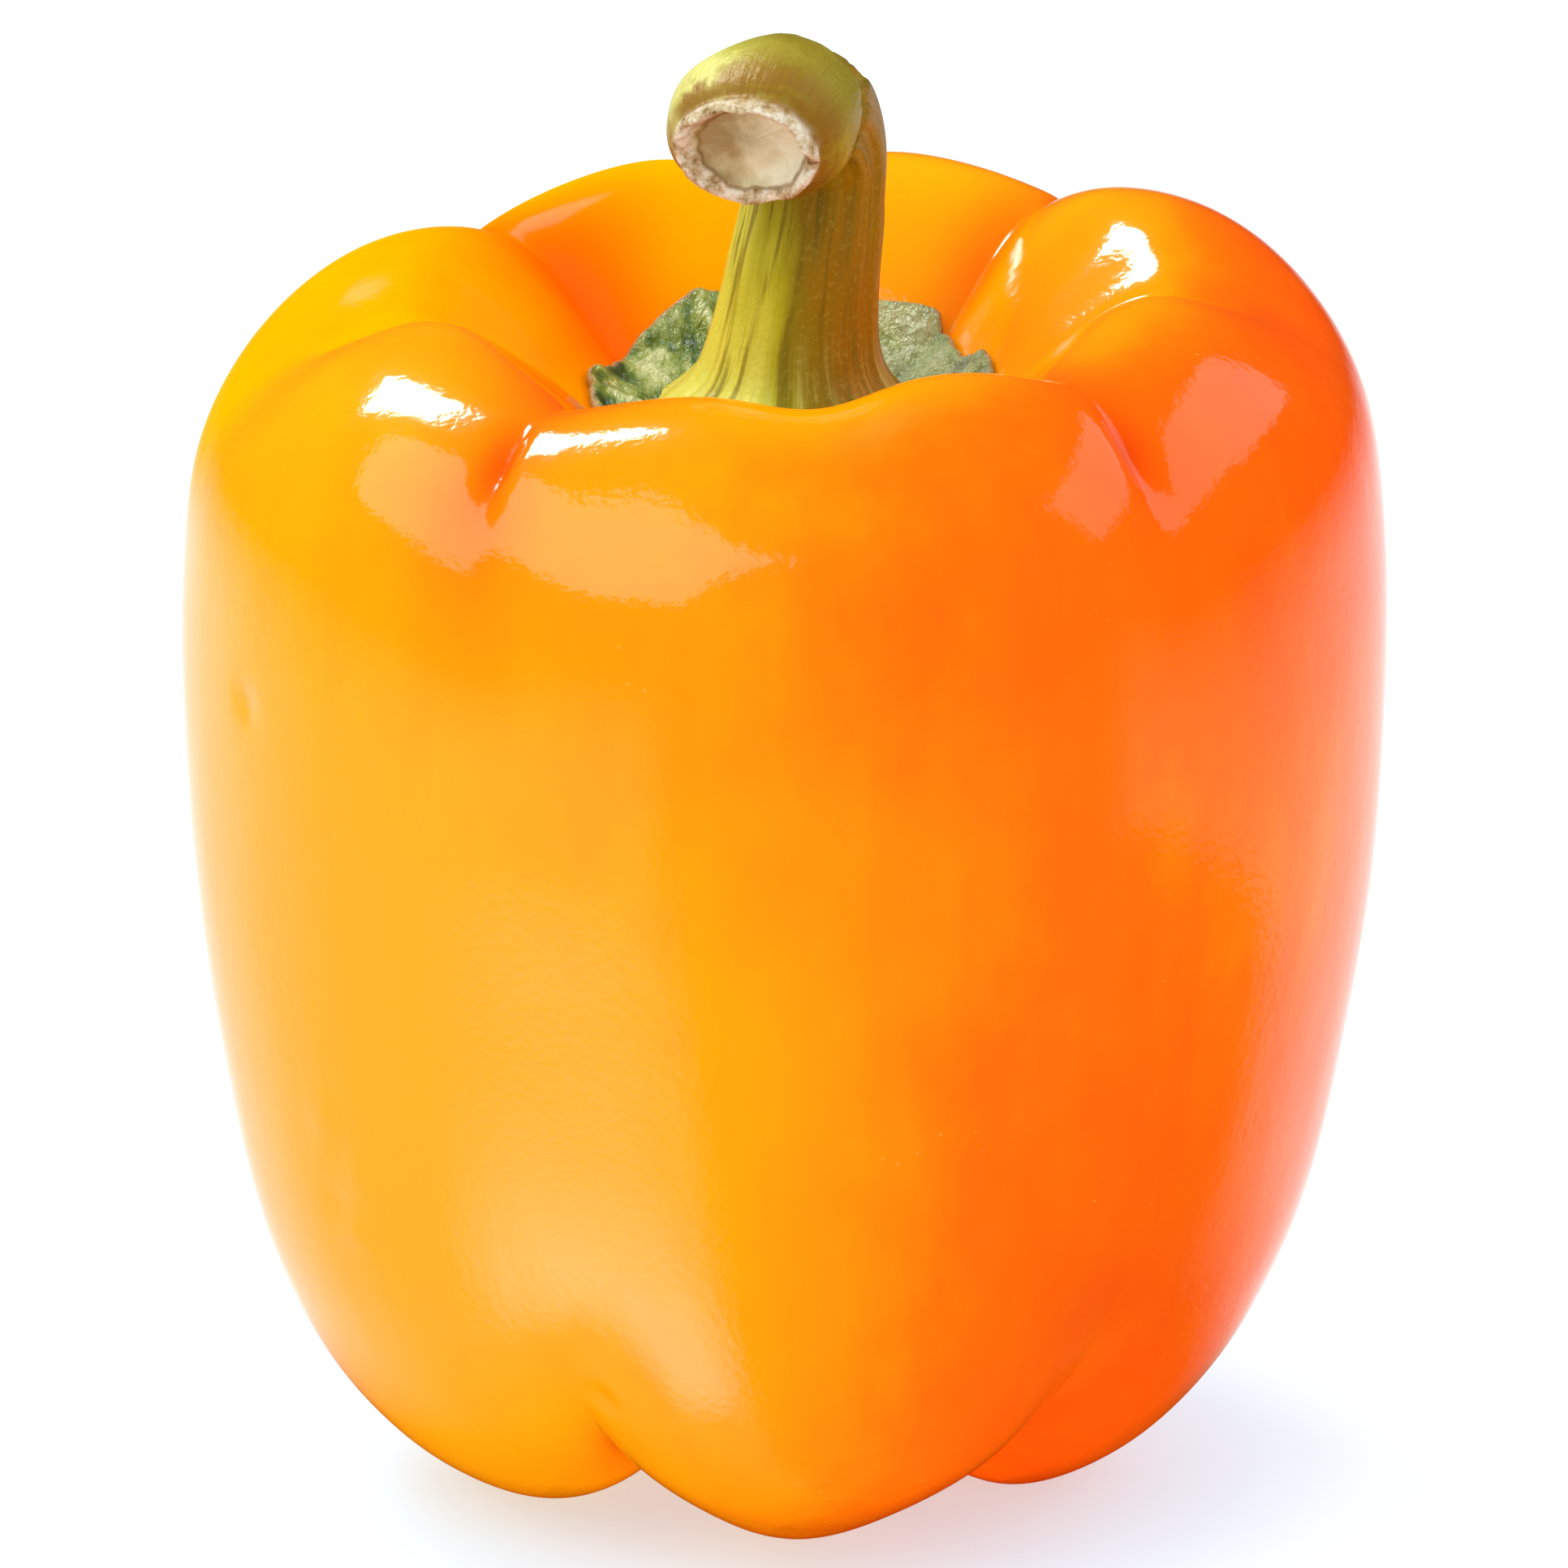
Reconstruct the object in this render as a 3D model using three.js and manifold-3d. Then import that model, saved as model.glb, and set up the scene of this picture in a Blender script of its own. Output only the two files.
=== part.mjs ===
// An orange bell pepper as picked, standing on its four bottom lobes: the fruit, the green calyx seated in
// the hollow of its top, and the cut stem, which rises from the calyx and bends over towards the front.
// Millimetres, +Z up, -Y the front, +X the right. A bearing is in degrees from +X towards +Y.
import * as THREE from "three";
import { mergeVertices } from "three/addons/utils/BufferGeometryUtils.js";
import Module from "manifold-3d";

const wasm = await Module();
wasm.setup();

const { degToRad, radToDeg, euclideanModulo, lerp, smoothstep, clamp } = THREE.MathUtils;

// Driving dimensions.
const BODY_RADIUS = 42.4; // over the widest part of a lobe
const SHOULDER_HEIGHT = 88.5; // crest of an average lobe
const SEAT_GAP = 0.3; // between pieces that sit on each other
const NUDGE = 0.004; // share of the outline to either side over which its direction is taken

// The fruit's outline over the middle of a lobe and down a crease, as [radius, height] in shares of the two
// dimensions above: from the middle of the top hollow, over the shoulder and down to the blossom end. Both
// lines have the same stations, so a point between them is a blend of the two. The lobes reach a little below
// zero, where they are cut flat to stand.
const LOBE_LINE = [
  [0, 0.85],
  [0.21, 0.848],
  [0.33, 0.882],
  [0.435, 0.943],
  [0.6, 1],
  [0.766, 0.983],
  [0.9, 0.929],
  [0.972, 0.857],
  [0.998, 0.754],
  [1, 0.629],
  [0.981, 0.491],
  [0.929, 0.331],
  [0.863, 0.211],
  [0.755, 0.11],
  [0.6, 0.034],
  [0.42, -0.004],
  [0.26, 0.03],
  [0.14, 0.07],
  [0, 0.086],
];
const CREASE_LINE = [
  [0, 0.85],
  [0.21, 0.846],
  [0.36, 0.862],
  [0.47, 0.9],
  [0.6, 0.946],
  [0.73, 0.956],
  [0.862, 0.917],
  [0.944, 0.848],
  [0.978, 0.748],
  [0.978, 0.625],
  [0.948, 0.491],
  [0.887, 0.337],
  [0.802, 0.223],
  [0.667, 0.137],
  [0.495, 0.089],
  [0.342, 0.08],
  [0.224, 0.085],
  [0.12, 0.087],
  [0, 0.086],
];

// Bearings of the four creases at the top, half-way down and at the bottom, from the left front round by the
// right.
const CREASES = [
  [236, 246, 239],
  [311, 312, 313],
  [410, 406, 401],
  [494, 499, 505],
];
const CREASE_STATIONS = [0.3, 0.6, 0.85];

// The lobe after each of those creases. reach is its radius against the average, rise how much higher it
// stands at its first and at its second edge, and foot how far its bottom is drawn in. The dip halves its
// shoulder: dipAt is its bearing and dip its depth.
const LOBES = [
  { reach: 0.985, rise: [-2.6, -1.2], dipAt: 275, dip: 2, foot: 0.17 },
  { reach: 1, rise: [-2.2, 1.8], dipAt: 357, dip: 3, foot: 0 },
  { reach: 0.985, rise: [0.2, 0.9], dipAt: 92, dip: 2.4, foot: 0 },
  { reach: 1, rise: [1.1, -0.5], dipAt: 186, dip: 3.2, foot: 0 },
];
const DIP_WIDTH = 13; // degrees, from the dip's middle to where it has mostly faded
const DIP_SPAN = [0.05, 0.4]; // stretch of the outline that the dips halve
const TOP_LEAN = new THREE.Vector2(0.045, 0.05); // how steeply the top rises to the right and to the back
const LEAN_HEIGHTS = [45, 85]; // the lean fades in between these heights
const LEAN_RADII = [9, 24]; // and between these radii, so that the floor of the hollow is level
const BASE_SHIFT = new THREE.Vector2(-0.5, -3); // the blossom end lies this far off the middle
const SHIFT_HEIGHTS = [0, 50]; // the shift fades out between these heights
const FOOT_SPAN = [0.72, 0.83]; // stretch of the outline where a foot is drawn in

// A lobe's outline across, along the fruit's outline: 1 is a plain bow, less is broader.
const LOBE_BREADTH = [
  [0, 0.6],
  [0.2, 0.5],
  [0.36, 0.6],
  [0.5, 1],
  [0.62, 1],
  [0.76, 0.45],
  [1, 0.36],
];

// How rounded a crease is along the outline: small is a sharp fold, large a soft hollow.
const CREASE_ROUNDNESS = [
  [0, 0.5],
  [0.12, 0.15],
  [0.3, 0.2],
  [0.39, 1.4],
  [0.54, 1.3],
  [0.64, 0.5],
  [0.75, 0.2],
  [0.9, 0.15],
  [1, 0.5],
];

const HOLLOW_SPAN = [0, 0.22]; // stretch of the outline that makes the top hollow's floor and wall
const LOBE_SIDES = 22; // grid columns over one lobe
const FRUIT_RINGS = 34;
const WELD = 1e-4; // points nearer than this are one

// The stem's middle line, from its foot to the cut.
const STEM_LINE = [
  [0.5, 0.6, 77.35],
  [0.7, 0.7, 81.5],
  [1.3, 1, 86.5],
  [2, 1.4, 91.5],
  [2.1, 1.1, 95.3],
  [0.9, -1, 98.3],
  [-0.9, -4.4, 99.2],
  [-2.1, -7.7, 98.8],
  [-2.7, -10.3, 97.8],
];
const STEM_SIDES = 32;
const STEM_RINGS = 34;

// The stem's outline as [radius, share of the line's length]: the cut's pale middle, its raised rim, the
// swollen head, the neck, the flared foot and the underside.
const STEM_OUTLINE = [
  [0, 0.965],
  [3, 0.968],
  [3.9, 0.982],
  [4.6, 1.003],
  [5.1, 0.995],
  [5.2, 0.972],
  [5.9, 0.94],
  [6.5, 0.86],
  [6.3, 0.77],
  [5.5, 0.67],
  [5.1, 0.57],
  [4.95, 0.48],
  [5.1, 0.41],
  [5.35, 0.32],
  [5.7, 0.2],
  [6.3, 0.115],
  [7.1, 0.067],
  [8.3, 0.032],
  [8.9, 0.014],
  [8.6, 0],
  [0, 0],
];
const STEM_SIDE = new THREE.Vector3(1, -0.25, 0).normalize(); // across the stem, square to its bend
const STEM_FLATNESS = 0.85; // the section's height to its width, at the head
const FLATTENED = [0.5, 0.85]; // stretch of the line where the section flattens
const FLUTES = 11;
const FLUTE_DEPTH = 0.18;
const FLUTE_RADII = [2, 5]; // the flutes deepen between these radii, so the cut and the underside are plain
const FLUTE_END = [0.6, 0.8]; // and fade out along the line before the head

// The calyx, a thin green cap with a short point at each of these bearings and a low rib up each point. waist
// is its radius halfway on to the next point.
const CALYX_POINTS = [
  { at: 3, reach: 14.6, waist: 14.4 },
  { at: 52, reach: 17.8, waist: 14.7 },
  { at: 113, reach: 16.5, waist: 16.3 },
  { at: 136, reach: 16.4, waist: 14.6 },
  { at: 172, reach: 14.1, waist: 13.2 },
  { at: 236, reach: 14.5, waist: 13.4 },
  { at: 303, reach: 15, waist: 13.9 },
];
const CALYX_CENTRE = new THREE.Vector2(0.2, 0.6);
const CALYX_THICKNESS = 1.5;
const CALYX_EDGE = 0.9;
const CALYX_RIB = 0.8;
const POINT_SHARPNESS = 1.2;
const RIB_SHARPNESS = 8;
const RIB_SPAN = [0.62, 0.74, 1]; // shares of the reach where a rib starts, is full and ends
const CALYX_SIDES = 60;
const CALYX_RINGS = 12;

// A closed surface on a sphere's grid of points: each point is moved to place(turn, along), where turn is an
// angle in degrees round the grid and along runs from 0 at its top to 1 at its bottom.
function closedSurface(sides, rings, place) {
  const grid = new THREE.SphereGeometry(1, sides, rings);
  const { position, uv } = grid.attributes;
  for (let i = 0; i < position.count; i++) {
    const point = place(360 * uv.getX(i), 1 - uv.getY(i));
    position.setXYZ(i, point.x, point.y, point.z);
  }
  grid.deleteAttribute("normal");
  grid.deleteAttribute("uv");
  return mergeVertices(grid, WELD);
}

// The value at x of a curve through [x, value] pairs, smooth from one pair to the next.
function along(pairs, x) {
  const next = clamp(pairs.findIndex(([at]) => at >= x), 1, pairs.length - 1);
  const [x0, y0] = pairs[next - 1];
  const [x1, y1] = pairs[next];
  return lerp(y0, y1, smoothstep(x, x0, x1));
}

const spline = (pairs) => new THREE.SplineCurve(pairs.map(([a, b]) => new THREE.Vector2(a, b)));
const lobeLine = spline(LOBE_LINE);
const creaseLine = spline(CREASE_LINE);

// The bearing of a crease at t. Crease 4 is crease 0 again, one turn on.
function creaseBearing(index, t) {
  const bearings = CREASES[index % CREASES.length];
  const turn = index < CREASES.length ? 0 : 360;
  const stations = CREASE_STATIONS.map((at, i) => [at, bearings[i] + turn]);
  return along(stations, clamp(t, stations[0][0], stations[2][0]));
}

// How much of a lobe's full outline a bearing gets: 1 at the lobe's middle, 0 on its creases.
function fullness(across, roundness, breadth) {
  const bow = Math.cos((across * Math.PI) / 2);
  const eased = (x) => Math.sqrt(x * x + roundness * roundness) - roundness;
  return (eased(bow) / eased(1)) ** breadth;
}

// The fruit's surface at t from 0, the middle of the top hollow, to 1, the blossom end, and at a share of the
// way over a lobe, from 0 at its first crease to 1 at its second.
function lobeSurface(index, share, t) {
  const lobe = LOBES[index];
  const bearing = lerp(creaseBearing(index, t), creaseBearing(index + 1, t), share);
  const full = fullness(2 * share - 1, along(CREASE_ROUNDNESS, t), along(LOBE_BREADTH, t));

  const drawnIn = lobe.foot * smoothstep(t, ...FOOT_SPAN);
  const sizes = new THREE.Vector2(BODY_RADIUS, SHOULDER_HEIGHT);
  const onLine = (at) => {
    const middle = lobeLine.getPoint(at);
    middle.x *= lobe.reach - drawnIn;
    return creaseLine.getPoint(at).lerp(middle, full).multiply(sizes);
  };
  const point = onLine(t);
  const run = onLine(Math.min(t + NUDGE, 1)).sub(onLine(Math.max(t - NUDGE, 0))).normalize();

  const [dipStart, dipEnd] = DIP_SPAN;
  const inDip = clamp((t - dipStart) / (dipEnd - dipStart), 0, 1);
  const dipTurn = euclideanModulo(bearing - lobe.dipAt + 180, 360) - 180;
  const dip = lobe.dip * Math.sin(inDip * Math.PI) ** 2 * Math.exp(-((dipTurn / DIP_WIDTH) ** 2));
  point.add(new THREE.Vector2(run.y, -run.x).multiplyScalar(dip));

  const angle = degToRad(bearing);
  const x = point.x * Math.cos(angle);
  const y = point.x * Math.sin(angle);
  const high = smoothstep(point.y, ...LEAN_HEIGHTS) * smoothstep(point.x, ...LEAN_RADII);
  const lean = high * (TOP_LEAN.x * x + TOP_LEAN.y * y + lerp(...lobe.rise, share) * full);
  const low = 1 - smoothstep(point.y, ...SHIFT_HEIGHTS);
  return new THREE.Vector3(x + BASE_SHIFT.x * low, y + BASE_SHIFT.y * low, point.y + lean);
}

// The same by bearing.
function fruitSurface(bearing, t) {
  const index = LOBES.findIndex((_, i) => {
    const width = creaseBearing(i + 1, t) - creaseBearing(i, t);
    return euclideanModulo(bearing - creaseBearing(i, t), 360) < width;
  });
  const first = creaseBearing(index, t);
  const share = euclideanModulo(bearing - first, 360) / (creaseBearing(index + 1, t) - first);
  return lobeSurface(index, share, t);
}

// The height of the top hollow's floor and wall above a point of the plan.
function hollowHeight(x, y) {
  const bearing = radToDeg(Math.atan2(y, x));
  const radius = Math.hypot(x, y);
  const halvings = 24;
  let [low, high] = HOLLOW_SPAN;
  for (let i = 0; i < halvings; i++) {
    const middle = (low + high) / 2;
    const point = fruitSurface(bearing, middle);
    const inside = Math.hypot(point.x, point.y) < radius;
    low = inside ? middle : low;
    high = inside ? high : middle;
  }
  return fruitSurface(bearing, low).z;
}

function solidOf(geometry) {
  const merged = mergeVertices(geometry, WELD);
  return new wasm.Manifold(
    new wasm.Mesh({
      numProp: 3,
      vertProperties: merged.attributes.position.array,
      triVerts: new Uint32Array(merged.index.array),
    }),
  );
}

function geometryOf(solid) {
  const { vertProperties, triVerts } = solid.getMesh();
  const geometry = new THREE.BufferGeometry();
  geometry.setAttribute("position", new THREE.BufferAttribute(vertProperties, 3));
  geometry.setIndex(new THREE.BufferAttribute(triVerts, 1));
  return geometry;
}

// The fruit, with its lobes cut flat where they rest on the floor. The grid has a column on every crease.
function fruitGeometry() {
  const quarter = 360 / LOBES.length;
  const whole = closedSurface(LOBES.length * LOBE_SIDES, FRUIT_RINGS, (turn, t) => {
    const index = Math.floor(euclideanModulo(turn, 360) / quarter);
    return lobeSurface(index, euclideanModulo(turn, quarter) / quarter, t);
  });
  const below = new THREE.BoxGeometry(4 * BODY_RADIUS, 4 * BODY_RADIUS, BODY_RADIUS);
  below.translate(0, 0, -BODY_RADIUS / 2);
  below.deleteAttribute("normal");
  below.deleteAttribute("uv");
  return geometryOf(solidOf(whole).subtract(solidOf(below)));
}

// The calyx's outer radius at a bearing, and how near the bearing is to a point, from 0 to 1.
function calyxReach(bearing) {
  const past = (point) => euclideanModulo(bearing - point.at, 360);
  const from = CALYX_POINTS.reduce((best, point) => (past(point) < past(best) ? point : best));
  const to = CALYX_POINTS[(CALYX_POINTS.indexOf(from) + 1) % CALYX_POINTS.length];
  const share = past(from) / euclideanModulo(to.at - from.at, 360);
  const nearness = Math.abs(1 - 2 * share);
  const point = lerp(from.reach, to.reach, share);
  return { reach: lerp(from.waist, point, nearness ** POINT_SHARPNESS), nearness };
}

// The calyx: its top for the first half of the grid, then its underside, which lies on the hollow's floor.
function calyxSurface(bearing, t) {
  const onTop = t < 0.5;
  const out = onTop ? 2 * t : 2 - 2 * t;
  const { reach, nearness } = calyxReach(bearing);
  const angle = degToRad(bearing);
  const x = CALYX_CENTRE.x + out * reach * Math.cos(angle);
  const y = CALYX_CENTRE.y + out * reach * Math.sin(angle);
  const [start, full, end] = RIB_SPAN;
  const onRib = smoothstep(out, start, full) * (1 - smoothstep(out, full, end));
  const rib = CALYX_RIB * nearness ** RIB_SHARPNESS * onRib;
  const thickness = lerp(CALYX_THICKNESS, CALYX_EDGE, out) + rib;
  const z = hollowHeight(x, y) + SEAT_GAP + (onTop ? thickness : 0);
  return new THREE.Vector3(x, y, z);
}

const stemLine = new THREE.CatmullRomCurve3(STEM_LINE.map((point) => new THREE.Vector3(...point)));
const stemOutline = spline(STEM_OUTLINE);

// The stem: its outline carried round its middle line, with shallow flutes down the neck.
function stemSurface(bearing, t) {
  const { x: radius, y: share } = stemOutline.getPoint(t);
  const at = clamp(share, 0, 1);
  const forward = stemLine.getTangentAt(at);
  const centre = stemLine.getPointAt(at).addScaledVector(forward, (share - at) * stemLine.getLength());
  const side = STEM_SIDE.clone().addScaledVector(forward, -STEM_SIDE.dot(forward)).normalize();
  const up = new THREE.Vector3().crossVectors(forward, side);
  const angle = degToRad(bearing);
  const onNeck = smoothstep(radius, ...FLUTE_RADII) * (1 - smoothstep(share, ...FLUTE_END));
  const wide = radius + FLUTE_DEPTH * Math.cos(FLUTES * angle) * onNeck;
  const high = wide * lerp(1, STEM_FLATNESS, smoothstep(share, ...FLATTENED));
  return centre
    .addScaledVector(side, wide * Math.cos(angle))
    .addScaledVector(up, high * Math.sin(angle));
}

const skin = new THREE.MeshStandardMaterial({ color: 0xff8a00, roughness: 0.22, metalness: 0 });
const leafGreen = new THREE.MeshStandardMaterial({ color: 0x5f7d3a, roughness: 0.5, metalness: 0 });
const stemGreen = new THREE.MeshStandardMaterial({ color: 0xa3a527, roughness: 0.45, metalness: 0 });

function piece(name, geometry, material) {
  const mesh = new THREE.Mesh(geometry, material);
  mesh.name = name;
  return mesh;
}

const pepper = new THREE.Group();
pepper.add(
  piece("fruit", fruitGeometry(), skin),
  piece("calyx", closedSurface(CALYX_SIDES, CALYX_RINGS, calyxSurface), leafGreen),
  piece("stem", closedSurface(STEM_SIDES, STEM_RINGS, stemSurface), stemGreen),
);

export default pepper;
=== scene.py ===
# An orange bell pepper: the lobed, waxy fruit, its green calyx and its cut, bent stem, on a pale floor.
import math

import bpy
import numpy as np
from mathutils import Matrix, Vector, noise


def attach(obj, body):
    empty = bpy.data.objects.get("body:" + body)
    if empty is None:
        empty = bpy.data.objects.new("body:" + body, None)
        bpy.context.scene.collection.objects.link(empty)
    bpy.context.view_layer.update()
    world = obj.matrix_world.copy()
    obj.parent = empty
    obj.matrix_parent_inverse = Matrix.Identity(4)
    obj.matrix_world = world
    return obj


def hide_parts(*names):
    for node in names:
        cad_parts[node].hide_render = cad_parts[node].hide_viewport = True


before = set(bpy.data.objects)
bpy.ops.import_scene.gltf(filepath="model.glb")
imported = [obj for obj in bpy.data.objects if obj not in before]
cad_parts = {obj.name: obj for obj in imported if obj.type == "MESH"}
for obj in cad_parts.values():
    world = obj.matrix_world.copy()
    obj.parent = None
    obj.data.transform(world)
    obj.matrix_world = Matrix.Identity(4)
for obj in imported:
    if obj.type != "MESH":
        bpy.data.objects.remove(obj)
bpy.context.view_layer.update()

# Curves and small helpers. Lengths are in millimetres up to make_mesh, which turns them into metres.

MM_PER_M = 1000
SEED_SHIFT = (17.3, -9.1, 5.7)  # how far the noise moves from one seed to the next


def lerp(a, b, share):
    return a + (b - a) * share


def smoothstep(x, low, high):
    x = np.clip((x - low) / (high - low), 0, 1)
    return x * x * (3 - 2 * x)


def plateau(x, rise, fall):
    """1 between the rise and the fall, each a (low, high) pair, and 0 outside them."""
    return smoothstep(x, *rise) * (1 - smoothstep(x, *fall))


def bell(x, width, power=2):
    """1 where x is 0, and next to nothing from twice the width on."""
    return np.exp(-((x / width) ** power))


def spline(points):
    """A uniform Catmull-Rom curve through the points, for t from 0 to 1."""
    points = np.array(points, float)
    last = len(points) - 1

    def at(t):
        place = np.clip(t, 0, 1) * last
        i = np.minimum(place.astype(int), last - 1)
        w = (place - i)[..., None]
        p0, p1 = points[np.maximum(i - 1, 0)], points[i]
        p2, p3 = points[i + 1], points[np.minimum(i + 2, last)]
        v0, v1 = (p2 - p0) / 2, (p3 - p1) / 2
        return (2 * p1 - 2 * p2 + v0 + v1) * w**3 + (3 * p2 - 3 * p1 - 2 * v0 - v1) * w**2 + v0 * w + p1

    return at


def along(pairs, x):
    """The value at x of a curve through (x, value) pairs, smooth from one pair to the next."""
    xs, ys = [p[0] for p in pairs], [p[1] for p in pairs]
    value = np.full(np.shape(x), float(ys[0]))
    for x0, x1, y0, y1 in zip(xs, xs[1:], ys, ys[1:]):
        value = value + (y1 - y0) * smoothstep(x, x0, x1)
    return value


def rough(points, scale, seed, octaves=1):
    """Smooth noise from about -1 to 1 at points (..., 3); scale is the size of its lumps."""
    offset = Vector([shift * seed for shift in SEED_SHIFT])
    flat = np.reshape(points, (-1, 3)) / scale
    value = np.zeros(len(flat))
    for octave in range(octaves):
        step = 2**octave
        value += np.array([noise.noise(Vector(p) * step + offset) for p in flat]) / step
    return value.reshape(np.shape(points)[:-1])


def relief(points, *layers):
    """A sum of noise in layers of (scale, seed, height) or (scale, seed, height, octaves)."""
    return sum(rough(points, scale, seed, *octaves) * height for scale, seed, height, *octaves in layers)


def unit(vectors):
    return vectors / np.linalg.norm(vectors, axis=-1, keepdims=True)


def make_mesh(name, grid, attributes):
    """A closed mesh on a grid (rows, columns, 3) whose columns run round and whose end rows become points.

    Each attribute is a grid of numbers or vectors.
    """
    rows, columns = grid.shape[:2]

    def flatten(values):
        """The values of the rows between the ends, then those of the two end points."""
        inner = values[1:-1].reshape(-1, *values.shape[2:])
        return np.concatenate([inner, [values[0].mean(0), values[-1].mean(0)]])

    points = flatten(grid)
    first, last = len(points) - 2, len(points) - 1
    last_row = (rows - 3) * columns
    i = np.arange(0, last_row, columns)[:, None]
    j = np.arange(columns)
    k = (j + 1) % columns
    quads = np.stack([i + j, i + columns + j, i + columns + k, i + k], -1)
    faces = quads.reshape(-1, 4).tolist()
    faces += [[first, c, (c + 1) % columns] for c in range(columns)]
    faces += [[last, last_row + (c + 1) % columns, last_row + c] for c in range(columns)]
    mesh = bpy.data.meshes.new(name)
    mesh.from_pydata((points / MM_PER_M).tolist(), [], faces)
    mesh.validate()
    for key, values in attributes.items():
        flat = flatten(values)
        kind, field = ("FLOAT_VECTOR", "vector") if flat.ndim == 2 else ("FLOAT", "value")
        mesh.attributes.new(key, kind, "POINT").data.foreach_set(field, flat.ravel())
    mesh.shade_smooth()
    item = bpy.data.objects.new(name, mesh)
    bpy.context.scene.collection.objects.link(item)
    return item


# The fruit.

BODY_RADIUS, SHOULDER_HEIGHT, SEAT_GAP = 42.4, 88.5, 0.3

# Shares of that radius and that height, over the middle of a lobe and down a crease, from the middle of the
# top hollow, over the shoulder and down to the blossom end.
LOBE_LINE = spline([
    (0, 0.85), (0.21, 0.848), (0.33, 0.882), (0.435, 0.943), (0.6, 1), (0.766, 0.983), (0.9, 0.929),
    (0.972, 0.857), (0.998, 0.754), (1, 0.629), (0.981, 0.491), (0.929, 0.331), (0.863, 0.211), (0.755, 0.11),
    (0.6, 0.034), (0.42, -0.004), (0.26, 0.03), (0.14, 0.07), (0, 0.086),
])
CREASE_LINE = spline([
    (0, 0.85), (0.21, 0.846), (0.36, 0.862), (0.47, 0.9), (0.6, 0.946), (0.73, 0.956), (0.862, 0.917),
    (0.944, 0.848), (0.978, 0.748), (0.978, 0.625), (0.948, 0.491), (0.887, 0.337), (0.802, 0.223),
    (0.667, 0.137), (0.495, 0.089), (0.342, 0.08), (0.224, 0.085), (0.12, 0.087), (0, 0.086),
])

# Bearings of the creases at three stations of the outline; the last crease is the first, one turn on.
CREASES = [(236, 246, 239), (311, 312, 313), (410, 406, 401), (494, 499, 505), (596, 606, 599)]
CREASE_STATIONS = (0.3, 0.6, 0.85)

# For each lobe: its share of the radius, its rise at its two creases, the bearing and the depth of the dip on
# its shoulder, and how far its foot is drawn in.
REACH = np.array([0.985, 1, 0.985, 1])
RISE = np.array([(-2.6, -1.2), (-2.2, 1.8), (0.2, 0.9), (1.1, -0.5)])
DIP_AT, DIP = np.array([275, 357, 92, 186]), np.array([2, 3, 2.4, 3.2])
FOOT = np.array([0.17, 0, 0, 0])

DIP_WIDTH, DIP_SPAN = 13, (0.05, 0.4)
TOP_LEAN, LEAN_HEIGHTS, LEAN_RADII = (0.045, 0.05), (45, 85), (9, 24)
BASE_SHIFT, SHIFT_HEIGHTS, FOOT_SPAN = (-0.5, -3), (0, 50), (0.72, 0.83)

# By station: how broad the lobes are over their middle, and how round the creases between them.
LOBE_BREADTH = [(0, 0.6), (0.2, 0.5), (0.36, 0.6), (0.5, 1), (0.62, 1), (0.76, 0.45), (1, 0.36)]
CREASE_ROUNDNESS = [
    (0, 0.5), (0.12, 0.15), (0.31, 0.2), (0.42, 1), (0.54, 1.1), (0.64, 0.5), (0.75, 0.3), (0.9, 0.2),
    (1, 0.5),
]
HOLLOW_SPAN, HALVINGS = (0, 0.22), 20
RUN_STEP = 0.004  # how far along the outline its direction is measured


def crease_bearings(t):
    t = np.clip(t, CREASE_STATIONS[0], CREASE_STATIONS[-1])
    return np.stack([along(list(zip(CREASE_STATIONS, bearings)), t) for bearings in CREASES])


def lobe_edges(edges, index):
    """The bearings of the two creases beside the lobes."""
    return (np.take_along_axis(edges, index[None] + side, 0)[0] for side in (0, 1))


def fullness(across, roundness, breadth):
    """0 in the creases and 1 over the middle of a lobe, for across from -1 to 1."""
    bow = np.cos(across * math.pi / 2)
    eased = np.sqrt(bow**2 + roundness**2) - roundness
    return np.maximum(eased / (np.sqrt(1 + roundness**2) - roundness), 0) ** breadth


def lobe_surface(index, share, t):
    """The surface at t (0 the top hollow's middle, 1 the blossom end) and a share of the way over a lobe."""
    bearing = lerp(*lobe_edges(crease_bearings(t), index), share)
    full = fullness(2 * share - 1, along(CREASE_ROUNDNESS, t), along(LOBE_BREADTH, t))
    drawn_in = FOOT[index] * smoothstep(t, *FOOT_SPAN)
    sizes = np.array((BODY_RADIUS, SHOULDER_HEIGHT))

    def on_line(at):
        middle = LOBE_LINE(at)
        middle[..., 0] *= REACH[index] - drawn_in
        return lerp(CREASE_LINE(at), middle, full[..., None]) * sizes

    point = on_line(t)
    run = unit(on_line(np.minimum(t + RUN_STEP, 1)) - on_line(np.maximum(t - RUN_STEP, 0)))
    in_dip = np.clip((t - DIP_SPAN[0]) / (DIP_SPAN[1] - DIP_SPAN[0]), 0, 1)
    turn = (bearing - DIP_AT[index] + 180) % 360 - 180
    dip = DIP[index] * np.sin(in_dip * math.pi) ** 2 * bell(turn, DIP_WIDTH)
    radius = point[..., 0] + run[..., 1] * dip
    height = point[..., 1] - run[..., 0] * dip
    angle = np.radians(bearing)
    x, y = radius * np.cos(angle), radius * np.sin(angle)
    high = smoothstep(height, *LEAN_HEIGHTS) * smoothstep(radius, *LEAN_RADII)
    rise = lerp(RISE[index, 0], RISE[index, 1], share)
    lean = high * (TOP_LEAN[0] * x + TOP_LEAN[1] * y + rise * full)
    low = 1 - smoothstep(height, *SHIFT_HEIGHTS)
    return np.stack([x + BASE_SHIFT[0] * low, y + BASE_SHIFT[1] * low, height + lean], -1)


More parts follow.
